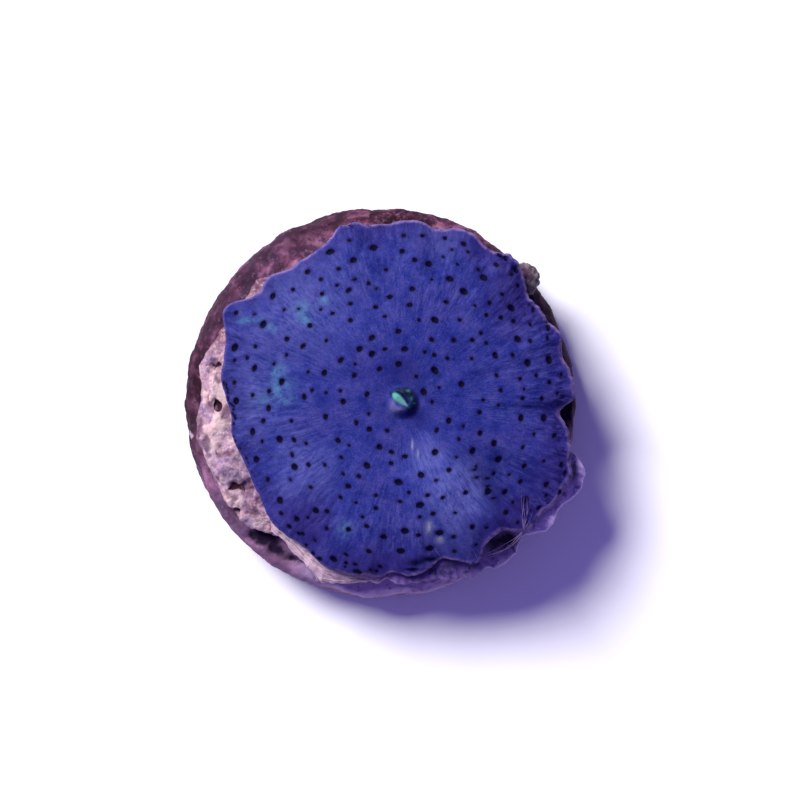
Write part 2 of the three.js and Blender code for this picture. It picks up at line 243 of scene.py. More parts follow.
# How pale the frill is painted, as (angle, share): pale as painted light where the cap shades it on the
# right, dark as painted shade along the bottom; then its pleats and the rim's line, as (angle, mm)
FRILL_LIGHT_AND_SHADE = (
    (0, 0.8), (240, 1), (256, 0.7), (268, 0.03), (290, 0.03), (298, 0.45), (308, 0.7), (318, 0.85),
    (331, 0.75),
)
PLEATS = ((0, 0.2), (215, 0.03), (262, 0.05), (285, 0.2), (330, 0.22))
PLEAT_COUNT = 34
PLEAT_DRIFT = 3
RIM_LINE = (
    (0, 0.34), (60, 0.26), (100, 0.22), (145, 0.2), (180, 0.12), (240, 0.14), (290, 0.26), (325, 0.46),
    (345, 0.46),
)
LINE_EDGE = (0.2, 1)
# How bright that line is, how violet the rim is, how ribbed the top is and how much painted shade lies in
# the folds near its rim, as (angle, share)
RIM_BRIGHT = (
    (0, 1), (95, 1), (140, 0.9), (160, 0.5), (180, 0.1), (215, 0.1), (240, 0.5), (265, 0.8), (330, 1),
)
RIM_VIOLET = ((0, 1), (40, 1), (100, 0.7), (150, 0.4), (200, 0.5), (260, 0.8), (330, 1))
VIOLET_WIDTH = 1.2
RIBBED = ((0, 0.8), (60, 0.7), (120, 0.6), (190, 1), (290, 0.7))
FOLDED = (
    (0, 1), (50, 0.8), (90, 0.2), (150, 0.3), (172, 0.8), (205, 0.7), (250, 0.1), (300, 0.6), (330, 1),
)
FOLD_GAP = 0.9
FOLD_WIDTH = 0.8
# Shade on the frill just outside the rim
TUCK_SHADE = 0.45
TUCK_WIDTH = (0.1, 0.5)

# Strands that fan out over the oral disc from the pinch in its rim, and those across the arch below it
PINCH = (9.63, -10.2)
FAN = (
    (PINCH, (9.58, -9), (9.53, -7.7), (9.49, -6.7)),
    (PINCH, (9.84, -9.25), (9.98, -8.55), (9.93, -7.1)),
    (PINCH, (9.93, -9.1), (10.1, -8.5), (10.3, -8.1)),
    (PINCH, (9.53, -9.25), (9.3, -8.7)),
    (PINCH, (9.75, -9), (9.64, -8.2), (9.7, -7.5)),
    (PINCH, (10.15, -9.45), (10.5, -8.65)),
    ((9.58, -9), (9.72, -8.2), (9.74, -7.3)),
    ((9.93, -9.1), (10.02, -8.3), (10, -7.7)),
    ((6, -12.5), (5.7, -11.9), (5.2, -11.3), (4.7, -10.6)),
    ((3, -12.3), (2.5, -11.6), (2.1, -11.1)),
)
BRIDGES = (
    ((9.6, -10.3), (9.3, -11), (8.4, -11.8), (7.4, -12.1), (6, -12.6), (5.4, -12.95)),
    ((9.55, -10.35), (9, -10.9), (8.3, -11.3), (7.6, -11.75), (6.8, -12.1), (5.8, -12.65)),
    ((9.5, -10.35), (8.8, -11.3), (7.9, -12.1), (6.8, -12.6), (5.5, -12.9)),
)
# How far each of those hangs down
BRIDGE_SAGS = (0.8, 0.9, 1.4)
# Pale threads along the film, as (angle, mm out from the rim)
FRINGE = (
    ((227, 0.15), (233, 0.2), (239, 0.4), (244, 0.85)),
    ((230, 0.4), (236, 0.6), (241, 0.95), (245, 1.4)),
    ((224, 0.2), (230, 0.08), (236, 0.1), (242, 0.2)),
    ((240, 0.15), (246, 0.35), (252, 0.4), (259, 0.3)),
    ((244, 1.2), (249, 1), (255, 0.65), (260, 0.5)),
    ((233, 0.1), (237, 0.45), (240, 0.6), (244, 0.5), (249, 0.7)),
)
THREAD_RADIUS = 0.037
THREAD_STEPS = 18
THREAD_WANDER = 0.08
THREAD_WAVE = 0.5
THREAD_SMOOTHING = 4
THREAD_SIDES = 5
THREAD_TAPER = 0.75
THREAD_TIP = (-0.05, 0.06)
# Share of the threads' colour along each fanning strand, from the pinch to its tip
FAN_SHARES = (0.8, 0.2)

# Dense copies of solids as (size of cells in mm, rounds of smoothing)
DENSE = {"rubble_rock": (0.125, 3), "frag_disc": (0.2, 14)}
# Relief of the rock in mm, and how much of it its facets lose
ROCK_LUMPS = 0.24
ROCK_GRIT = 0.1
ROCK_LEDGES = 0.18
HOLE_DEPTH = 0.3
MOSS_RISE = 0.25
FACET_CALM = 0.75
# Marks on the rock as (X, Y, width, height); the holes are painted dark as shade
ROCK_MARKS = {
    "hole": (
        (-13.4, 3.05, 0.42, 0.32), (-13.15, -0.15, 0.3, 0.45), (-11.6, -8.75, 0.24, 0.26),
        (-11.3, -6.85, 0.85, 0.18), (-11.9, -6.75, 0.35, 0.3),
    ),
    "facet": (
        (-11.8, -7.8, 0.75, 0.75), (-12.9, 0.9, 0.7, 1.1), (-12.9, -1.6, 0.7, 0.8),
        (-9.6, -9.6, 0.5, 0.25), (-13.6, -3.4, 0.7, 0.8),
    ),
    "lilac": (
        (-11.9, -4.9, 1.7, 0.9), (-11.2, -6, 1.3, 0.6), (-10.8, -9.6, 0.8, 0.5),
        (-7, -12.5, 1.5, 0.9), (-3, -14.2, 3, 0.9), (2, -14, 4, 1.5),
    ),
    "rust": (
        (-13.1, -2.6, 1.2, 0.14), (-9.8, 9.4, 1.6, 1.4), (-12.6, -4.1, 0.8, 0.3),
        (-10.4, -8.2, 0.4, 0.5), (-13.3, 5.6, 1.6, 1.6), (-10.4, -6.4, 0.6, 0.4),
    ),
    "moss": ((11.8, 10.4, 2.4, 2.4), (13, 5, 2, 4)),
}
# Marks on the disc as (X, Y, width, height): dents painted dark as shadow beside the rock's overhang and
# under the polyp's right rim, and a pale fleck
DISC_SHADOWED_DENTS = (
    (-10, -10.55, 0.8, 0.45), (-9.1, -11.15, 0.8, 0.55), (-8.2, -11.85, 0.7, 0.55),
    (-7.2, -12.7, 0.8, 0.35), (14.6, 4.5, 1.1, 4.5), (15, -0.6, 1, 1.4), (13, 8.4, 1, 1.2),
)
DISC_FLECK = ((-15.5, -2.7, 0.25, 0.3),)
DISC_DENT = 0.5
# Relief of the crust in mm, and how far it lies below the solid
CRUST_LUMPS = 0.09
CRUST_GRIT = 0.06
CRUST_KNOBS = 0.2
CRUST_DROP = 0.1
# How much of the disc's painted light is taken back at its outer edge
PAINTED_LIGHT_FADE = 0.45
# Shares of dark crust, with painted shade under the polyp's right rim, lilac film, and pale painted light
# where the polyp's shadow falls on the disc, as (angle, share)
CRUST_DARK_AND_SHADE = (
    (0, 1), (35, 0.9), (55, 0.3), (95, 0.3), (108, 0.95), (120, 0.7), (131, 0.2), (142, 0.85),
    (155, 0.8), (185, 1), (205, 0.2), (240, 0), (330, 0.2),
)
# The lilac film is full along the bottom, where the polyp's shadow falls; there it also stands in as
# painted light
CRUST_LILAC = (
    (0, 0.3), (85, 0), (120, 0.2), (155, 0.2), (175, 0), (205, 0.45), (235, 0.75), (265, 1),
    (310, 1),
)
CRUST_PAINTED_LIGHT = ((0, 0), (240, 0), (262, 1), (320, 1), (345, 0.2))


def paint(colour):
    """Surface colour that shows three 8-bit sRGB values under the lights; four stay as they are."""
    if len(colour) == 4:
        return colour
    values = np.array(colour) / 255
    linear = np.where(values <= 0.04045, values / 12.92, ((values + 0.055) / 1.055) ** 2.4)
    return (*(linear / LIT_WHITE), 1.0)


def smoothstep(low, high, value):
    share = np.clip((value - low) / (high - low), 0, 1)
    return share * share * (3 - 2 * share)


def hump(value, centre, width):
    return np.exp(-(((value - centre) / width) ** 2))


def patches(right, up, places):
    """0 to 1: how deep each point lies in any of the soft oval patches."""
    return np.clip(sum(hump(right, x, wide) * hump(up, y, tall) for x, y, wide, tall in places), 0, 1)


def blur_turn(values, reach):
    """Values round a full turn, smoothed over neighbours within reach."""
    kernel = np.hanning(2 * reach + 3)[1:-1]
    wrapped = np.concatenate((values[-reach:], values, values[:reach]))
    return np.convolve(wrapped, kernel / kernel.sum(), mode="valid")


def around_turn(pairs, angles):
    """Value at each angle of a soft closed curve through (angle, value) pairs."""
    whole = np.arange(360)
    values = np.interp(whole, *zip(*pairs), period=360)
    return np.interp(angles, whole, blur_turn(values, 6), period=360)


def fractal(points, size, octaves=4):
    """Layered noise at points in mm, about -1 to 1, with features of a size in mm."""
    return np.array([noise.fractal(Vector(p) / size, 1.0, 2.0, octaves) for p in points])


def knobbles(points, size):
    """0 to 1: rounded bumps about a size in mm apart."""
    near = np.array([noise.voronoi(Vector(p) / size)[0][0] for p in points])
    return 1 - smoothstep(0.0, 0.75, near)


def astray(points, reach, size):
    """Points shifted sideways by noise, so that marks placed by them have ragged outlines."""
    shift = np.stack((fractal(points + 3, size, 3), fractal(points + 8, size, 3), 0 * points[:, 0]), -1)
    return points + reach * shift


def on_circle(turns, radius, height=0.0):
    """Points at angles in radians on a level circle about the mouth."""
    level = np.broadcast_to(height, turns.shape)
    return np.stack((radius * np.cos(turns), radius * np.sin(turns), level), -1)


def link(name, data):
    """A new object in the scene."""
    made = bpy.data.objects.new(name, data)
    bpy.context.scene.collection.objects.link(made)
    return made


def put_attributes(mesh, table):
    """Stores values on a mesh's points under their names."""
    for name, values in table.items():
        layer = mesh.attributes.new(name, "FLOAT", "POINT")
        layer.data.foreach_set("value", np.asarray(values, np.float32).ravel())


def shade_smooth(mesh):
    mesh.polygons.foreach_set("use_smooth", np.ones(len(mesh.polygons), bool))
    mesh.update()


class Shader:
    """A node material being built; each method adds a node and returns its output socket."""

    def __init__(self, name, **surface):
        self.material = bpy.data.materials.new(name)
        self.material.use_nodes = True
        self.tree = self.material.node_tree
        self.surface = self.tree.nodes["Principled BSDF"]
        for socket, value in surface.items():
            self.surface.inputs[socket.replace("_", " ")].default_value = value

    def feed(self, socket, value):
        """Gives a socket another socket, an attribute by its name, or a constant."""
        if isinstance(value, str):
            value = self.add("ShaderNodeAttribute", {}, attribute_name=value, output="Fac")
        if isinstance(value, bpy.types.NodeSocket):
            self.tree.links.new(value, socket)
        else:
            socket.default_value = paint(value) if socket.type == "RGBA" else value

    def add(self, kind, inputs, output=0, **settings):
        made = self.tree.nodes.new(kind)
        for name, value in settings.items():
            setattr(made, name, value)
        for socket, value in inputs.items():
            self.feed(made.inputs[socket], value)
        return made.outputs[output]

    def place(self):
        return self.add("ShaderNodeTexCoord", {}, output="Object")

    def vector(self, operation, first, second=(0, 0, 0), output=0):
        return self.add("ShaderNodeVectorMath", {0: first, 1: second}, output, operation=operation)

    def about_axis(self, centre, spokes, pitch):
        """Coordinates for noise drawn out along or across the spokes about an upright axis: one unit is
        a spoke's share of a radian around, and a pitch in mm outwards or down."""
        offset = self.vector("SUBTRACT", self.place(), Vector((*centre, 0)) * MM)
        level = self.vector("MULTIPLY", offset, (1, 1, 0))
        heading = self.vector("NORMALIZE", level)
        out = self.vector("LENGTH", level, output="Value")
        height = self.add("ShaderNodeSeparateXYZ", {0: offset}, output=2)
        run = self.times(self.math("SUBTRACT", out, height), 1 / (pitch * MM))
        lift = self.add("ShaderNodeCombineXYZ", {2: run})
        return self.vector("ADD", self.vector("MULTIPLY", heading, (spokes, spokes, 0)), lift)

    def noise(self, size, detail=3.0, roughness=0.55, vector=None, distortion=0.0):
        """Noise with features of a size in mm, or of that size in the units of the vector given."""
        inputs = {
            "Vector": vector or self.place(),
            "Scale": 1 / size if vector else 1 / (size * MM),
            "Detail": detail,
            "Roughness": roughness,
            "Distortion": distortion,
        }
        return self.add("ShaderNodeTexNoise", inputs)

    def span(self, value, low, high):
        inputs = {"Value": value, "From Min": low, "From Max": high}
        return self.add("ShaderNodeMapRange", inputs, interpolation_type="SMOOTHSTEP")

    def math(self, operation, first, second=0.0):
        return self.add("ShaderNodeMath", {0: first, 1: second}, operation=operation)

    def times(self, first, second):
        return self.math("MULTIPLY", first, second)

    def blend(self, share, first, second):
        return self.add("ShaderNodeMix", {0: share, 6: first, 7: second}, output=2, data_type="RGBA")

    def over(self, colour, *coats):
        """A colour with coats laid over it in turn, each (colour, shares to be multiplied together)."""
        for coat, *shares in coats:
            colour = self.blend(functools.reduce(self.times, shares), colour, coat)
        return colour

    def ramp(self, value, stops):
        output = self.add("ShaderNodeValToRGB", {"Fac": value})
        band = output.node.color_ramp
        while len(band.elements) < len(stops):
            band.elements.new(0.5)
        for element, (position, colour) in zip(band.elements, stops):
            element.position = position
            element.color = paint(colour)
        return output

    def bump(self, height, strength, depth):
        inputs = {"Height": height, "Strength": strength, "Distance": depth * MM}
        return self.add("ShaderNodeBump", inputs)

    def finish(self, **sockets):
        for socket, value in sockets.items():
            self.feed(self.surface.inputs[socket.replace("_", " ")], value)
        return self.material


class SolidTop:
    """Reads the polyp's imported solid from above, about the mouth."""

    def __init__(self, node):
        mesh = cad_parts[node].data
        mesh.calc_loop_triangles()
        corners = [v.co for v in mesh.vertices]
        self.tree = BVHTree.FromPolygons(corners, [t.vertices for t in mesh.loop_triangles])
        self.angles = np.arange(SOLID_SPOKES) * 360 / SOLID_SPOKES
        self.rim, self.outer, self.outer_height = np.array([self.edges(a) for a in self.angles]).T

    def height(self, angle, radius):
        """Height of the top face, or None outside the solid."""
        turn = math.radians(angle)
        right, up = radius * math.cos(turn), radius * math.sin(turn)
        start = Vector((MOUTH[0] + right, MOUTH[1] + up, SKY)) * MM
        place = self.tree.ray_cast(start, Vector((0, 0, -1)))[0]
        return place.z / MM if place else None

    def edges(self, angle):
        """Radius of the rim, then radius and height of the outermost edge, often the frill's."""
        radii = np.arange(*RIM_SEARCH, RIM_STEP)
        read = [self.height(angle, radius) for radius in radii]
        heights = np.array(read[:read.index(None)])
        beyond = np.maximum.accumulate(heights[::-1])[::-1]
        step = heights[:-1] - heights[1:] > RIM_DROP
        fall = heights[:-1] - beyond[1:] > RIM_FALL
        outer = len(heights) - 1
        rim = np.argmax(step & fall) if (step & fall).any() else outer
        return radii[rim], radii[outer], heights[outer]

    def heights(self, shares):
        """Heights at shares of the rim's radius on each spoke, with the pits smoothed over."""
        read = [[self.height(a, s * r) for s in shares] for a, r in zip(self.angles, self.rim)]
        kernel = np.hanning(2 * PIT_BLUR + 3)[1:-1]
        padded = np.pad(np.array(read), ((0, 0), (PIT_BLUR, PIT_BLUR)), mode="edge")
        return sum(w * padded[:, i:i + len(shares)] for i, w in enumerate(kernel / kernel.sum()))


def spread_around(samples):
    """Evenly spaced samples round a full turn, filled in smoothly to the mesh's spokes."""
    waves = np.fft.rfft(samples, axis=0)
    return np.fft.irfft(waves, AROUND, axis=0) * AROUND / len(samples)


def solid_pits(node):
    """Pits in a solid's top as (right, up, radius): each is a point with its neighbours above it."""
    shape = bmesh.new()
    shape.from_mesh(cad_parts[node].data)
    bmesh.ops.remove_doubles(shape, verts=shape.verts, dist=1e-3 * MM)
    places = []
    for vert in shape.verts:
        spokes = np.array([edge.other_vert(vert).co - vert.co for edge in vert.link_edges]) / MM
        flat = np.hypot(spokes[:, 0], spokes[:, 1])
        right, up = np.array(vert.co.xy) / MM - MOUTH
        sunken = spokes[:, 2].mean() > PIT_RISE and flat.max() < PIT_REACH and vert.normal.z > 0
        alone = all(math.hypot(right - x, up - y) > PIT_GAP for x, y, _ in places)
        if sunken and alone and math.hypot(right, up) > PIT_CLEAR:
            places.append((right, up, np.clip(flat.mean() * PIT_SHARE, *PIT_RADIUS)))
    shape.free()
    return places


def spot_places(rim, turns):
    """All spots as (right, up, radius, stretch, heading of the short axis): the solid's pits, small ones
    in the widest gaps, beads along the margin and flattened ones on the bulge."""
    chance = np.random.default_rng(SEED)
    places = solid_pits("mushroom_polyp")
    while len(places) < SPOT_COUNT:
        turn = chance.uniform(0, math.tau, SPOT_TRIES)
        share = np.sqrt(chance.uniform(SPOT_BAND[0] ** 2, SPOT_BAND[1] ** 2, SPOT_TRIES))
        tries = on_circle(turn, share * np.interp(turn, turns, rim))[:, :2]
        taken = np.array(places)[:, :2]
        gaps = np.linalg.norm(tries[:, None] - taken[None], axis=2).min(1)
        places.append((*tries[gaps.argmax()], chance.uniform(*SPOT_RADIUS)))
    for first, last, count, gap, size in MARGIN_BEADS:
        turn = np.radians(chance.uniform(first, last, count))
        beads = on_circle(turn, np.interp(turn, turns, rim) - gap * chance.uniform(*BEAD_GAPS, count))
        places += [(*bead[:2], size * chance.uniform(*BEAD_SIZES)) for bead in beads]
    spots = [(x, y, size, chance.uniform(*SPOT_STRETCH), math.atan2(y, x)) for x, y, size in places]
    flank = (FLANK_RADIUS, FLANK_STRETCH, math.radians(FLANK_HEADING))
    return spots + [(*place, *flank) for place in FLANK_SPOTS]


def spot_field(right, up, spots):
    """Distance in mm from each point to the nearest spot's edge, negative inside."""
    chance = np.random.default_rng(SEED + 1)
    field = np.full(right.shape, SPOT_FAR)
    for x, y, radius, stretch, heading in spots:
        turn = heading + chance.uniform(-SPOT_TURN, SPOT_TURN)
        out = (right - x) * math.cos(turn) + (up - y) * math.sin(turn)
        side = (up - y) * math.cos(turn) - (right - x) * math.sin(turn)
        field = np.minimum(field, np.hypot(out, side / stretch) - radius)
    return field


def strand(path):
    """A soft, slightly wandering line of THREAD_STEPS points along a path."""
    steps = np.linspace(0, 1, THREAD_STEPS)
    knots = np.linspace(0, 1, len(path))
    curve = np.stack([np.interp(steps, knots, axis) for axis in np.array(path).T], -1)
    for _ in range(THREAD_SMOOTHING):
        curve[1:-1] = (curve[:-2] + 2 * curve[1:-1] + curve[2:]) / 4
    wander = THREAD_WANDER * fractal(np.column_stack((curve, 0 * steps)), THREAD_WAVE, 2)
    return curve + (wander * steps)[:, None]


class Mouth:
    """Relief of the mouth, and shares of its parts, at points right of and up from it."""

    def __init__(self, right, up):
        turn = math.radians(LIP_ANGLE)
        x, y = right - LIP_CENTRE[0], up - LIP_CENTRE[1]
        along = (x * math.cos(turn) + y * math.sin(turn)) / LIP_LENGTH
        across = y * math.cos(turn) - x * math.sin(turn)
        half = LIP_WIDTH * np.sqrt(np.clip(1 - along ** 2, 0, 1)) * (1 - LIP_TAPER * along)
        out = np.hypot(right, up)
        near = 1 - smoothstep(*MOUTH_EDGE, out)
        lip = near * smoothstep(*LIP_SOFT, half - np.abs(across)) * (np.abs(along) < LIP_END)
        dark = near * patches(right, up, DARK_LIP) * (1 - lip)
        mound = patches(right, up, MOUND)
        slit = near * hump(across, half + SLIT_GAP, SLIT_WIDTH)
        slit *= 1 - smoothstep(*SLIT_END, np.abs(along))
        cone = MOUTH_HEIGHT * (1 - smoothstep(*MOUTH_RADIUS, out))
        raised = cone + LIP_RISE * lip + MOUND_RISE * mound + DARK_RISE * dark
        self.relief = raised - SLIT_DEPTH * slit
        self.shares = {
            "lip": lip,
            "lip_top": 1 - smoothstep(-0.9, 0.9, along),
            "lip_dark": dark,
            "lip_speck": patches(right, up, LIP_SPECKS),
            "mound": mound,
            "slit": slit,
        }


class Polyp:
    """The polyp's mesh, built ring by ring. A ring's level runs 0-1 over the top, 1-2 under it, 2-4 over
    and back under the frill, 5 at the foot and 6 on threads."""

    def __init__(self):
        solid = SolidTop("mushroom_polyp")
        self.turns = np.arange(AROUND) * math.tau / AROUND
        self.angles = np.degrees(self.turns)
        self.rim = spread_around(solid.rim)
        self.read_shares = np.linspace(MOUTH_REACH / self.rim.mean(), READ_TO, SOLID_RINGS)
        self.read_heights = spread_around(solid.heights(self.read_shares))
        self.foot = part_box("rubble_rock")[1].z / MM
        scallop = self.turn_noise(*SCALLOP_NOISE)
        self.ragged = self.rim + around_turn(CRENULATION, self.angles) * scallop
        outer = spread_around(solid.outer)
        film = self.rim + around_turn(FILM_WIDTH, self.angles)
        self.skirt = np.maximum(outer, film) + FRILL_RAG * self.turn_noise(*SKIRT_NOISE)
        self.skirt_height = np.where(film > outer + 0.02, FILM_HEIGHT, spread_around(solid.outer_height))
        self.skirted = np.maximum(outer, film) - self.rim
        self.spots = spot_places(self.rim, self.turns)
        self.rings = []
        self.levels = []
        self.thread_points = []
        self.thread_faces = []
        self.thread_share_and_light = []

    def turn_noise(self, radius, height, size, octaves):
        """Noise round a full turn, read on a level circle."""
        return fractal(on_circle(self.turns, radius, height), size, octaves)

    def put_ring(self, radius, height, level):
        self.rings.append(on_circle(self.turns, radius, height))
        self.levels.append(level)

    def base_height(self, shares):
        """Height of the plain oral disc, read from the solid, levelled off under the mouth."""
        heights = np.array([np.interp(shares, self.read_shares, row) for row in self.read_heights])
        centre = self.read_heights[:, 0].mean()
        first, level = self.read_shares[0], self.read_shares[LEVEL_RING]
        return centre + (heights - centre) * smoothstep(first, level, shares)

    def relief(self, right, up, shares):
        """Wrinkles along the spokes, ripples, dimpled spots and crumpled folds."""
        flat = np.stack((right, up, np.zeros_like(right)), -1).reshape(-1, 3)
        around = self.turns[:, None] + WRINKLE_SWAY * fractal(flat, 1.6, 2).reshape(right.shape)
        lines = on_circle(around, WRINKLE_COUNT, np.hypot(right, up) / WRINKLE_LENGTH)
        self.wrinkle = fractal(lines.reshape(-1, 3), 1.0, 3).reshape(right.shape)
        tall = around_turn(WRINKLE_HEIGHT, self.angles)[:, None]
        wrinkle = self.wrinkle * tall * smoothstep(0.4, 1.0, shares)
        ripple = RIPPLE * fractal(flat, 4.5, 2) + PUCKER * fractal(flat + 30, 1.2, 3)
        ripple = ripple.reshape(right.shape) * smoothstep(0.1, 0.4, shares)
        dimple = SPOT_DEPTH * (1 - smoothstep(*SPOT_EDGE, spot_field(right, up, self.spots)))
        crumple = CRUMPLE_DEPTH * patches(right, up, TOP_PATCHES["crumpled"])
        return wrinkle + ripple - dimple - crumple

    def add_top(self):
        ends, counts = zip(*TOP_BANDS)
        bands = [np.linspace(a, b, n + 1)[1:] for a, b, n in zip((0, *ends), ends, counts)]
        self.shares = np.concatenate(bands)
        reach = self.rim[:, None] + (self.ragged - self.rim)[:, None] * self.shares ** SCALLOP_POWER
        right = reach * self.shares * np.cos(self.turns)[:, None]
        up = reach * self.shares * np.sin(self.turns)[:, None]
        turned_down = RIM_THICKNESS * 0.5 * smoothstep(*RIM_TURN, self.shares) ** 2
        self.top = self.base_height(self.shares) + self.relief(right, up, self.shares) - turned_down
        self.top += Mouth(right, up).relief
        for j, share in enumerate(self.shares):
            self.put_ring(reach[:, j] * share, self.top[:, j], share)

    def add_underside(self):
        for out, share, level in RIM_ROUND:
            self.put_ring(self.ragged + out, self.top[:, -1] - RIM_THICKNESS * share, level)
        heights = self.base_height(np.array(UNDER_SHARES))
        for share, height in zip(UNDER_SHARES, heights.T):
            thickness = RIM_THICKNESS + (CENTRE_THICKNESS - RIM_THICKNESS) * (1 - share)
            self.put_ring(share * self.ragged, height - thickness, 2 - share)

    def add_frill(self):
        """A thin skirt below the rim; where there is none it shrinks into the column."""
        neck = self.foot + NECK_RISE
        present = blur_turn(smoothstep(*FRILL_SHOWS, self.skirted), FRILL_BLUR)
        span = (np.maximum(self.skirt, self.rim * FRILL_LEAST) - COLUMN_RADIUS) * present
        low = np.where(self.skirted > FRILL_LOW, self.skirt_height, neck - FRILL_HANG)
        low = blur_turn(low, FRILL_BLUR)
        flutter = FLUTTER * self.turn_noise(*FLUTTER_NOISE)
        pleats = around_turn(PLEATS, self.angles)

        def ring(share, side):
            pleat = pleats * self.turn_noise(PLEAT_COUNT, share * PLEAT_DRIFT, 1.0, 2)
            height = neck + ((low - neck) * share ** 2 + (flutter + pleat) * share ** 3) * present
            thickness = FRILL_THICKNESS - FRILL_TAPER * share
            return COLUMN_RADIUS + span * share, height + side * thickness

        for share in FRILL_SHARES:
            self.put_ring(*ring(share, 1), 2 + share)
        self.put_ring(*ring(1.0, 0), 3.0)
        for share in FRILL_SHARES[::-2]:
            self.put_ring(*ring(share, -1), 4 - share)

    def add_foot(self):
        self.put_ring(COLUMN_RADIUS + 0.1, self.foot + FOOT_RISE, 5.0)
        self.put_ring(FOOT_RADIUS, self.foot, 5.0)

    def spoke_at(self, right, up):
        return int(math.atan2(up, right) % math.tau / math.tau * AROUND)

    def top_height(self, right, up):
        """Height of the finished top face at one place."""
        spoke = self.spoke_at(right, up)
        share = math.hypot(right, up) / self.ragged[spoke]
        return np.interp(share, self.shares, self.top[spoke])

    def frill_height(self, right, up):
        """Height of the frill's upper face at one place."""
        spoke = self.spoke_at(right, up)
        line = np.array([ring[spoke] for ring, level in zip(self.rings, self.levels) if 2 <= level <= 3])
        return np.interp(math.hypot(right, up), np.hypot(line[:, 0], line[:, 1]), line[:, 2])

    def add_thread(self, curve, heights, share_and_light):
        """A thin closed tube along a curve at the given heights, tapered at both ends."""
        steps = np.linspace(0, 1, THREAD_STEPS)
        line = np.column_stack((curve, heights))
        side = np.cross(np.gradient(line, axis=0), (0, 0, 1))
        side /= np.linalg.norm(side, axis=1)[:, None]
        taper = THREAD_RADIUS * (1 - THREAD_TAPER * steps) * smoothstep(*THREAD_TIP, steps)
        start = len(self.thread_points)
        for turn in np.arange(THREAD_SIDES) * math.tau / THREAD_SIDES:
            offset = side * math.cos(turn) + np.array((0, 0, math.sin(turn)))
            self.thread_points += list(line + offset * taper[:, None])
            self.thread_share_and_light += list(share_and_light)
        grid = start + np.arange(THREAD_SIDES * THREAD_STEPS).reshape(THREAD_SIDES, THREAD_STEPS)
        after = np.roll(grid, -1, axis=0)
        quads = np.stack((grid[:, :-1], grid[:, 1:], after[:, 1:], after[:, :-1]), -1).reshape(-1, 4)
        self.thread_faces += quads.tolist() + [grid[:, 0].tolist(), grid[::-1, -1].tolist()]

    def add_threads(self):
        steps = np.linspace(0, 1, THREAD_STEPS)
        share_and_light = np.linspace(*FAN_SHARES, THREAD_STEPS)
        for path in FAN:
            curve = strand(path)
            self.add_thread(curve, [self.top_height(*place) for place in curve], share_and_light)
        for path, sag in zip(BRIDGES, BRIDGE_SAGS):
            level = np.interp(steps, (0, 1), (self.top_height(*path[0]), self.top_height(*path[-1])))
            level -= sag * np.sin(math.pi * steps) + THREAD_RADIUS
            self.add_thread(strand(path), level, np.ones(THREAD_STEPS))
        for path in FRINGE:
            angle, gap = np.array(path).T
            reach = np.interp(angle, self.angles, self.ragged) + gap
            curve = strand(on_circle(np.radians(angle), reach)[:, :2])
            self.add_thread(curve, [self.frill_height(*place) for place in curve], np.ones(THREAD_STEPS))

    def make(self):
        self.add_top()
        self.add_underside()
        self.add_frill()
        self.add_foot()
        self.add_threads()
        count = len(self.rings)
        ends = count * AROUND
        centres = np.array((self.rings[0].mean(0), self.rings[-1].mean(0)))
        points = np.concatenate((*self.rings, centres, np.array(self.thread_points)))
        threads = len(self.thread_points)
        levels = np.concatenate((np.repeat(self.levels, AROUND), (0, 5), np.full(threads, 6.0)))
        grid = np.arange(ends).reshape(count, AROUND)
        after = np.roll(grid, -1, axis=1)
        faces = np.stack((grid[:-1], grid[1:], after[1:], after[:-1]), -1).reshape(-1, 4).tolist()
        faces += np.stack((grid[0], after[0], np.full(AROUND, ends)), -1).tolist()
        faces += np.stack((after[-1], grid[-1], np.full(AROUND, ends + 1)), -1).tolist()
        faces += [[corner + ends + 2 for corner in face] for face in self.thread_faces]
        mesh = bpy.data.meshes.new("mushroom_polyp_tissue")
        mesh.from_pydata(((points + (*MOUTH, 0)) * MM).tolist(), [], faces)
        shade_smooth(mesh)
        self.paint(mesh, points, levels)
        return link("mushroom_polyp_tissue", mesh)

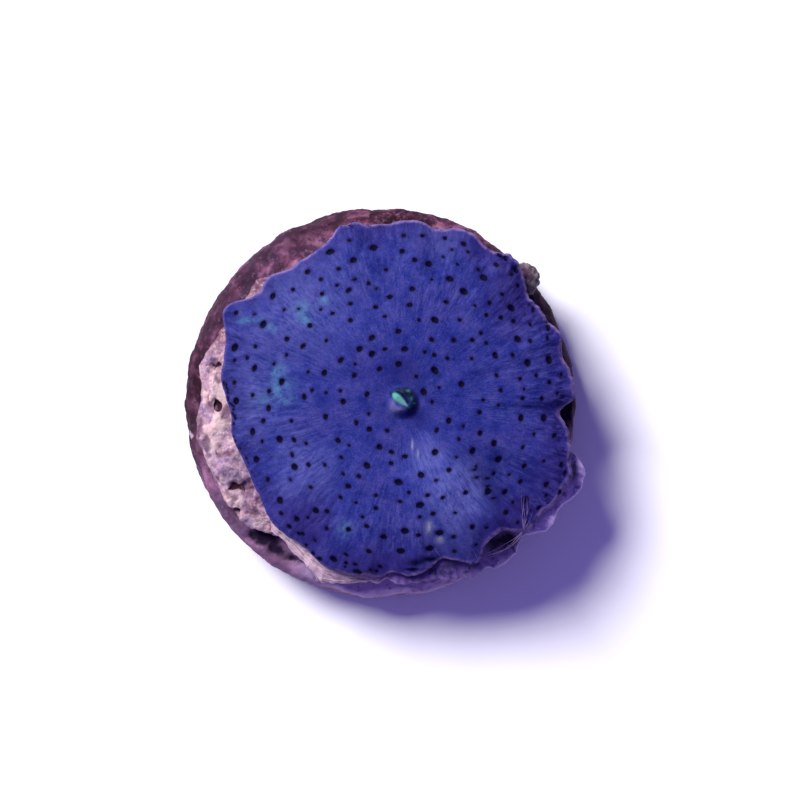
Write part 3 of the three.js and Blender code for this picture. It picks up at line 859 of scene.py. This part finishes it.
    def paint(self, mesh, points, levels):
        """Stores on each point what the tissue's material reads."""
        right, up = points[:, 0], points[:, 1]
        angle = np.degrees(np.arctan2(up, right)) % 360
        radius = np.hypot(right, up)
        rim = np.interp(angle, self.angles, self.ragged, period=360)
        skirt = np.interp(angle, self.angles, self.skirt, period=360)
        top = levels <= 1
        frill = (levels >= 2) & (levels <= 4)
        gap = np.where(top, rim - radius, 0)
        line = 1 - smoothstep(*LINE_EDGE, gap / around_turn(RIM_LINE, angle))
        violet = around_turn(RIM_VIOLET, angle) * np.exp(-gap / VIOLET_WIDTH)
        violet = np.clip(violet + patches(right, up, VIOLET_PATCHES), 0, 1)
        tucked = TUCK_SHADE * (1 - smoothstep(*TUCK_WIDTH, radius - rim))
        wrinkle = np.zeros(len(points))
        wrinkle[:self.wrinkle.size] = self.wrinkle.T.ravel()
        plain = np.zeros(len(points) - len(self.thread_share_and_light))
        values = {name: top * patches(right, up, places) for name, places in TOP_PATCHES.items()}
        values |= {name: top * share for name, share in Mouth(right, up).shares.items()}
        values |= {
            "wrinkle": wrinkle,
            "spot": np.where(top, spot_field(right, up, self.spots), SPOT_FAR),
            "rim_line": np.where(levels < RIM_LEVEL, line * around_turn(RIM_BRIGHT, angle), 0),
            "folds": top * hump(gap, FOLD_GAP, FOLD_WIDTH) * around_turn(FOLDED, angle),
            "violet": np.where(top, violet, 1),
            "wrinkled": top * around_turn(RIBBED, angle) * smoothstep(0.25, 0.9, levels),
            "frill": frill,
            "frill_deep": frill * np.maximum(tucked, patches(right, up, SHADOWED_HOLLOWS)),
            "frill_blotch": frill * patches(right, up, BLOTCHES),
            "frill_edge": frill * (1 - smoothstep(0.04, 0.3, skirt - radius)),
            "frill_tone": around_turn(FRILL_LIGHT_AND_SHADE, angle),
            "film": smoothstep(268, 254, angle) * smoothstep(200, 215, angle),
            "under": (levels > RIM_LEVEL) & (levels < 2),
            "thread": np.concatenate((plain, self.thread_share_and_light)),
        }
        put_attributes(mesh, values)


class Tissue(Shader):
    """The polyp's skin. Its noises are shared by the parts, and each part is laid over the last."""

    def __init__(self):
        super().__init__("coral_tissue", Roughness=0.6, Specular_IOR_Level=0.05, Subsurface_Weight=0.08,
                         Subsurface_Scale=0.3 * MM, Subsurface_Radius=(0.4, 0.5, 1.0))
        self.spoke = self.about_axis(MOUTH, 20, 2.0)
        self.streak = self.noise(0.5, 4.0, 0.65, self.spoke, 0.9)
        self.fine = self.noise(0.3, 3.0, 0.65, self.spoke, 0.6)
        self.worms = self.noise(0.42, 2.0, 0.5, None, 1.2)
        self.shown = self.span(self.noise(2.2, 3.0, 0.6), 0.34, 0.56)
        self.streaks = self.span(self.streak, 0.45, 0.68)
        self.furrows = self.span(self.fine, 0.5, 0.66)
        self.creases = self.span(self.math("ABSOLUTE", self.math("SUBTRACT", self.worms, 0.5)), 0.05, 0.0)

    def oral_disc(self):
        """Mottled blue with ribs painted lighter on ridges and darker in grooves as light and shade,
        hairlines and grain, then lilac partly painted light, painted shade, teal, cream, violet, and
        painted shade in folds.
        """
        lilac, deep = (98, 102, 186), (20, 26, 110)
        blues = [(0.35, (24, 34, 130)), (0.49, (46, 55, 154)), (0.64, (80, 78, 172))]
        tinge = self.span(self.noise(3.0, 5.0, 0.65), 0.42, 0.62)
        ribs = self.times("wrinkled", self.shown)
        hair = self.noise(0.36, 3.0, 0.6, self.about_axis(MOUTH, 20, 3.6), 0.6)
        traced = self.times(self.span(self.noise(3.4, 2.0, 0.5), 0.36, 0.62), 0.32)
        grain = self.noise(0.13, 2.0, 0.7)
        cloud = self.span(self.noise(0.9, 6.0, 0.7), 0.34, 0.62)
        dashes = self.times(self.span(self.streak, 0.4, 0.6), 0.6)
        streaked = self.math("ADD", self.times(cloud, 0.4), dashes)
        whitish = self.span(self.noise(0.36, 3.0, 0.65, self.spoke, 0.8), 0.5, 0.68)
        flecked = self.math("ADD", self.times(cloud, self.streaks), 0.45)
        return self.over(
            self.ramp(self.noise(1.5, 9.0, 0.75), blues),
            ((66, 54, 142), tinge, 0.3),
            # Ribs: lighter on the wrinkles' ridges and darker in their grooves, painted light and shade
            (lilac, self.span("wrinkle", 0.05, 0.6), ribs, 0.45),
            (deep, self.span("wrinkle", -0.05, -0.5), ribs, 0.7),
            (deep, self.furrows, ribs, 0.3),
            (deep, self.creases, 0.4),
            (lilac, self.span(hair, 0.48, 0.68), traced),
            (deep, self.span(hair, 0.52, 0.32), traced),
            (lilac, self.span(grain, 0.52, 0.72), 0.25),
            (deep, self.span(grain, 0.48, 0.28), 0.3),
            # Pale lilac, partly painted light on the bulge's lit crest
            (lilac, "pale", streaked, 0.9),
            # Lilac tint, partly painted light towards the upper left
            (lilac, "haze", streaked, 0.85),
            ((128, 128, 204), "pale", whitish, 0.25),
            # Painted shade and the mouth's painted cast shadow, with one darker patch of tissue
            ((18, 22, 112), "shade", 0.6),
            ((92, 144, 190), "teal", cloud, 0.7),
            ((180, 180, 208), "cream", flecked, 0.9),
            ((58, 40, 118), "violet", 0.5),
            # Dark lines painted as shade in the folds near the rim
            ((26, 18, 92), "folds", self.span(self.streak, 0.47, 0.58), 0.85),
            # Painted shade in the crumpled folds
            ((8, 14, 60), "crumpled", 0.92),
        )

    def frill(self):
        """Violet sheet painted pale as light where the cap shades it and dark as shade where lit, stained
        and pleated, with painted shade in its hollows, and the pink film that runs on.
        """
        blotch = self.times(self.span(self.noise(0.7, 3.0, 0.6), 0.53, 0.64), 0.75)
        blotch = self.math("MAXIMUM", blotch, self.times("frill_blotch", 0.85))
        stain = self.blend("frill_tone", (34, 40, 74), (124, 98, 170))
        crimp = self.blend("frill_tone", (92, 66, 140), (134, 106, 172))
        edge = self.blend("frill_tone", (140, 108, 170), (0.66, 0.5, 0.8, 1))
        fibre = self.noise(1.0, 4.0, 0.65, self.about_axis(MOUTH, 9, 0.16), 1.6)
        pinks = [(0.34, (136, 102, 146)), (0.5, (206, 168, 194)), (0.66, (252, 222, 234))]
        return self.over(
            # Painted light and shade: pale where the cap shades the frill, dark where it is lit
            self.blend("frill_tone", (98, 72, 162), (0.6, 0.44, 0.8, 1)),
            (stain, blotch),
            (crimp, self.furrows, 0.45),
            (edge, "frill_edge", 0.75),
            # Painted shade just outside the rim and in the hollows
            ((6, 4, 26), "frill_deep", 0.95),
            (self.ramp(fibre, pinks), "film", 0.9),
        )

    def lip(self):
        green = self.blend("lip_top", (114, 156, 186), (88, 176, 164))
        return self.over(green, ((122, 182, 186), self.span(self.fine, 0.45, 0.65), 0.5))

    def thread(self):
        mauves = [(0.35, (98, 74, 140)), (0.65, (152, 124, 178))]
        return self.over(
            self.ramp(self.noise(0.4, 3.0, 0.6), mauves),
            # Strands that hang in shade across the arch and along the film are painted pale as light
            ((0.44, 0.31, 0.5, 1), self.span("thread", 0.8, 1.0)),
            ((250, 226, 238), "film"),
        )

    def make(self):
        broken = self.span(self.noise(0.6, 4.0, 0.65), 0.3, 0.6)
        dark = self.ramp(self.worms, [(0.4, (10, 14, 46)), (0.62, (38, 62, 92))])
        ragged = self.times(self.math("SUBTRACT", self.noise(0.3, 2.0, 0.5), 0.5), 0.1)
        spot = self.math("ADD", "spot", ragged)
        colour = self.over(
            self.oral_disc(),
            (self.frill(), "frill"),
            ((30, 22, 74), "under", 0.95),
            ((146, 118, 184), "rim_line", broken, 0.8),
            ((122, 120, 190), "mound", 0.7),
            (dark, "lip_dark"),
            ((84, 140, 158), "lip_speck", 0.9),
            (self.lip(), "lip"),
            ((18, 14, 62), "slit", 0.8),
            ((44, 30, 100), self.span(spot, 0.2, 0.0), 0.45),
            ((4, 3, 42), self.span(spot, 0.04, -0.05)),
            (self.thread(), "thread", 0.85),
        )
        relief = self.math("ADD", self.times(self.streaks, self.shown), self.times(self.fine, 0.8))
        relief = self.math("ADD", relief, self.times(self.noise(0.22, 4.0, 0.65), 0.9))
        relief = self.math("SUBTRACT", relief, self.times(self.creases, 0.4))
        return self.finish(Base_Color=colour, Normal=self.bump(relief, 0.5, 0.06))


def keep_shell(mesh):
    """Drops what isn't connected to the lowest point: a dense copy can hold a tiny loose bubble."""
    shape = bmesh.new()
    shape.from_mesh(mesh)
    shell = set()
    reached = {min(shape.verts, key=lambda vert: vert.co.z)}
    while reached:
        shell |= reached
        reached = {edge.other_vert(vert) for vert in reached for edge in vert.link_edges} - shell
    bmesh.ops.delete(shape, geom=[vert for vert in shape.verts if vert not in shell], context="VERTS")
    shape.to_mesh(mesh)
    shape.free()


def weathered(node, name, relief):
    """A dense copy of a solid, reshaped by relief(points, normals), which also gives its attributes."""
    source = link(name + "_source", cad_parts[node].data.copy())
    dense = source.modifiers.new("dense", "REMESH")
    dense.mode = "VOXEL"
    dense.voxel_size = DENSE[node][0] * MM
    worn = source.modifiers.new("worn", "SMOOTH")
    worn.iterations = DENSE[node][1]
    view = bpy.context.evaluated_depsgraph_get()
    mesh = bpy.data.meshes.new_from_object(source.evaluated_get(view))
    mesh.name = name
    mesh.materials.clear()
    keep_shell(mesh)
    bpy.data.objects.remove(source)
    points = np.array([v.co for v in mesh.vertices]) / MM
    normals = np.array([v.normal for v in mesh.vertices])
    moved, attributes = relief(points, normals)
    moved[:, 2] = np.maximum(moved[:, 2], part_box(node)[0].z / MM)
    mesh.vertices.foreach_set("co", (moved * MM).astype(np.float32).ravel())
    put_attributes(mesh, attributes)
    shade_smooth(mesh)
    return link(name, mesh)


def rock_relief(points, normals):
    base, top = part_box("rubble_rock")
    height = points[:, 2] - base.z / MM
    loose = smoothstep(0.1, 0.6, height) * smoothstep(0.05, 0.3, top.z / MM - points[:, 2])
    lumps = fractal(points, 1.6, 4)
    grit = fractal(points + 40, 0.45, 3)
    ledge = np.abs(fractal(points * (0.5, 0.5, 1.6) + 11, 1.3, 3))
    right, up, _ = astray(points, 0.35, 0.5).T
    marks = {name: patches(right, up, places) for name, places in ROCK_MARKS.items()}
    rough = ROCK_LUMPS * lumps + ROCK_GRIT * grit - ROCK_LEDGES * ledge
    rough *= 1 - FACET_CALM * marks["facet"]
    mossy = marks["moss"] * MOSS_RISE * knobbles(points, 0.55)
    move = loose * (rough - HOLE_DEPTH * marks["hole"] + mossy)
    attributes = {"cavity": ledge * 0.9 - lumps * 0.5 - grit * 0.5, "height": height, **marks}
    return points + normals * move[:, None], attributes


def rock_material():
    shader = Shader("reef_rubble", Roughness=0.88, Specular_IOR_Level=0.2)
    pinks = [(0.32, (160, 122, 184)), (0.45, (208, 166, 212)), (0.56, (244, 194, 216)),
             (0.7, (255, 214, 234))]
    greys = [(0.4, (72, 62, 72)), (0.6, (152, 138, 146))]
    grain = shader.noise(0.24, 4.0, 0.72)
    warm = shader.span(shader.noise(0.8, 4.0, 0.65), 0.54, 0.68)
    broken = shader.span(shader.noise(0.7, 4.0, 0.65), 0.34, 0.58)
    colour = shader.over(
        shader.ramp(shader.noise(1.4, 6.0, 0.68), pinks),
        ((150, 116, 164), shader.span(grain, 0.52, 0.68), 0.55),
        ((255, 236, 242), shader.span(grain, 0.48, 0.36), 0.6),
        ((214, 146, 152), warm, 0.6),
        ((112, 100, 156), "lilac", broken, 0.85),
        ((132, 80, 112), "rust", shader.span(grain, 0.3, 0.5), 0.9),
        ((255, 222, 232), "facet", 0.75),
        (shader.ramp(shader.noise(0.5, 5.0, 0.7), greys), "moss", 0.95),
        # Low parts of the relief painted darker as shade
        ((104, 66, 108), shader.span("cavity", 0.2, 0.9), 0.8),
        ((96, 62, 100), shader.span("height", 0.9, 0.1), 0.7),
        # Holes painted dark as the shade inside them
        ((66, 28, 54), shader.span("hole", 0.35, 0.75)),
    )
    return shader.finish(Base_Color=colour, Normal=shader.bump(grain, 1.0, 0.2))


def disc_relief(points, normals):
    base, top = (corner.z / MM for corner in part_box("frag_disc"))
    loose = smoothstep(0.2, 1.2, points[:, 2] - base)
    upper = smoothstep(1.6, 0.4, top - points[:, 2])
    lumps = fractal(points, 2.2, 4)
    grit = fractal(points + 70, 0.6, 3)
    crust = 0.65 * knobbles(points + 0.3 * lumps[:, None], 1.3) + 0.35 * knobbles(points + 9, 0.6)
    crust *= smoothstep(-0.25, 0.35, fractal(points + 25, 4.0, 2))
    right, up, _ = astray(points, 0.5, 0.9).T
    radius = np.hypot(points[:, 0], points[:, 1])
    angle = np.degrees(np.arctan2(points[:, 1], points[:, 0])) % 360
    painted_light_share = upper * around_turn(CRUST_PAINTED_LIGHT, angle)
    attributes = {
        "cavity": 0.5 - lumps - crust,
        "lilac": around_turn(CRUST_LILAC, angle),
        # Pale paint as light on the top where the polyp's shadow falls, less at the very edge
        "bleached": painted_light_share * (1 - PAINTED_LIGHT_FADE * smoothstep(14.6, 15.8, radius)),
        "shade": around_turn(CRUST_DARK_AND_SHADE, angle) * smoothstep(14.0, 15.4, radius),
        "hollow": upper * patches(right, up, DISC_SHADOWED_DENTS),
        "fleck": upper * patches(right, up, DISC_FLECK),
        "bare": smoothstep(-0.6, -0.9, normals[:, 2]),
    }
    rise = CRUST_LUMPS * lumps + CRUST_GRIT * grit + CRUST_KNOBS * crust - CRUST_DROP
    move = loose * rise - DISC_DENT * attributes["hollow"]
    return points + normals * move[:, None], attributes


def disc_material():
    shader = Shader("crusted_ceramic", Roughness=0.85, Specular_IOR_Level=0.1)
    purples = [(0.4, (44, 18, 34)), (0.5, (86, 40, 66)), (0.57, (132, 72, 110)),
               (0.68, (190, 128, 168))]
    greys = [(0.35, (188, 172, 176)), (0.65, (226, 216, 214))]
    blotch = shader.noise(1.1, 4.0, 0.55, shader.about_axis((0, 0), 9, 1.1), 0.3)
    grain = shader.noise(0.4, 5.0, 0.68)
    scale = shader.span(shader.noise(0.9, 4.0, 0.65), 0.55, 0.63)
    veil = shader.span(shader.noise(2.4, 4.0, 0.6), 0.2, 0.55)
    ragged = shader.times(shader.math("SUBTRACT", shader.noise(0.6, 3.0, 0.6), 0.5), 0.5)
    hollow = shader.span(shader.math("ADD", "hollow", ragged), 0.1, 0.85)
    colour = shader.over(
        shader.ramp(blotch, purples),
        ((172, 122, 164), shader.span(grain, 0.5, 0.66), 0.5),
        ((34, 15, 28), scale, 0.7),
        # Lilac film, which along the shaded bottom also stands in as painted light
        ((176, 136, 200), "lilac", veil, 0.7),
        # Dark outer ring: dark crust on the left, painted shade on the right under the polyp's rim
        ((50, 26, 44), "shade", 0.8),
        # Low parts of the crust painted darker as shade
        ((44, 22, 42), shader.span("cavity", 0.3, 1.1), 0.45),
        # Painted light: near white where the polyp's shadow falls on the disc
        ((0.62, 0.46, 0.76, 1), "bleached", shader.span(grain, 0.25, 0.5), 0.9),
        # Painted shadow in the dents beside the rock and under the polyp's rim
        ((24, 8, 46), hollow, 0.96),
        ((186, 168, 196), shader.span("fleck", 0.3, 0.8)),
        (shader.ramp(shader.noise(1.5, 5.0, 0.6), greys), "bare"),
    )
    return shader.finish(Base_Color=colour, Normal=shader.bump(grain, 0.6, 0.14))


def dress(piece, node, material):
    piece.data.materials.append(material)
    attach(piece, BODY)
    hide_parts(node)


def make_floor():
    half = FLOOR_SIZE / 2 * MM
    low = -FLOOR_GAP * MM
    corners = [(x * half, y * half, low) for x, y in ((-1, -1), (1, -1), (1, 1), (-1, 1))]
    mesh = bpy.data.meshes.new("floor")
    mesh.from_pydata(corners, [], [(0, 1, 2, 3)])
    shader = Shader("floor", Roughness=0.9, Specular_IOR_Level=0.0)
    mesh.materials.append(shader.finish(Base_Color=(FLOOR_SHADE, FLOOR_SHADE, FLOOR_SHADE, 1.0)))
    link("floor", mesh)


def make_lights():
    lamp = bpy.data.lights.new("key", "SUN")
    lamp.energy = SUN_STRENGTH
    lamp.color = SUN_COLOUR
    lamp.angle = math.radians(SUN_SPREAD)
    key = link("key", lamp)
    key.rotation_euler = Vector(SUN_FROM).to_track_quat("Z", "Y").to_euler()
    world = bpy.data.worlds.new("fill")
    world.use_nodes = True
    world.node_tree.nodes["Background"].inputs["Color"].default_value = (*FILL_COLOUR, 1.0)
    bpy.context.scene.world = world


def make_camera():
    lens = bpy.data.cameras.new("camera")
    lens.sensor_width = SENSOR
    lens.lens = SENSOR * (CAMERA_HEIGHT - VIEW_LEVEL) / VIEW_WIDTH
    lens.clip_start = CLIP_START * MM
    camera = link("camera", lens)
    camera.location = Vector((*AIM, CAMERA_HEIGHT)) * MM
    bpy.context.scene.camera = camera


make_camera()
make_lights()
make_floor()
bpy.context.scene.view_settings.view_transform = "Standard"

rock = weathered("rubble_rock", "rubble_rock_stone", rock_relief)
disc = weathered("frag_disc", "frag_disc_crust", disc_relief)
dress(Polyp().make(), "mushroom_polyp", Tissue().make())
dress(rock, "rubble_rock", rock_material())
dress(disc, "frag_disc", disc_material())
